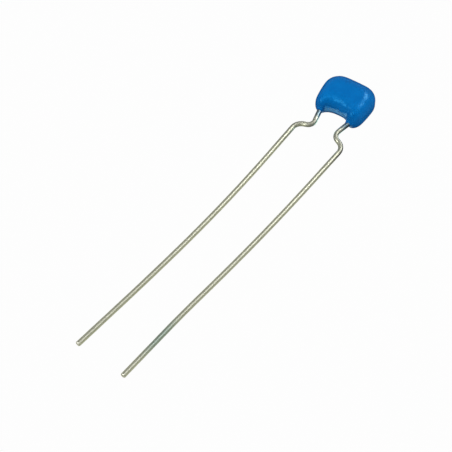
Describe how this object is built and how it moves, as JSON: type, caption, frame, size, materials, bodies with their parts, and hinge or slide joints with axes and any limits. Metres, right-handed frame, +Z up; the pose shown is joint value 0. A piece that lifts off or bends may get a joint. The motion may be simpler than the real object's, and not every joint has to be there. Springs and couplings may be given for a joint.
{
  "type": "dipped multilayer ceramic capacitor",
  "caption": "Small dipped ceramic capacitor: a blue pillow-shaped epoxy body on two long tinned wire leads, kinked in under the body.",
  "frame": {"origin": "on the table under the middle of the part, as it lies on the body's broad back and on the tips of its leads", "axes": "+X across the two leads, +Y along the leads towards the body, +Z up, out of the body's front face"},
  "size_m": [0.0064, 0.0389, 0.0028],
  "materials": {
    "blue_epoxy": "glossy dipped epoxy",
    "tinned_wire": "tinned, slightly dull",
    "fired_ceramic": "fired, matt",
    "electrode_nickel": "fired metal film",
    "end_cap_tin": "plated, satin",
    "solder": "bright solder"
  },
  "bodies": {
    "root": {"ceramic_block": "fired_ceramic", "electrode_01": "electrode_nickel", "electrode_02": "electrode_nickel", "electrode_03": "electrode_nickel", "electrode_04": "electrode_nickel", "electrode_05": "electrode_nickel", "electrode_06": "electrode_nickel", "electrode_07": "electrode_nickel", "electrode_08": "electrode_nickel", "electrode_09": "electrode_nickel", "electrode_10": "electrode_nickel", "electrode_11": "electrode_nickel", "electrode_12": "electrode_nickel", "epoxy_coating": "blue_epoxy", "left_lead": "tinned_wire", "left_solder": "solder", "left_termination": "end_cap_tin", "right_lead": "tinned_wire", "right_solder": "solder", "right_termination": "end_cap_tin"}
  },
  "joints": []
}
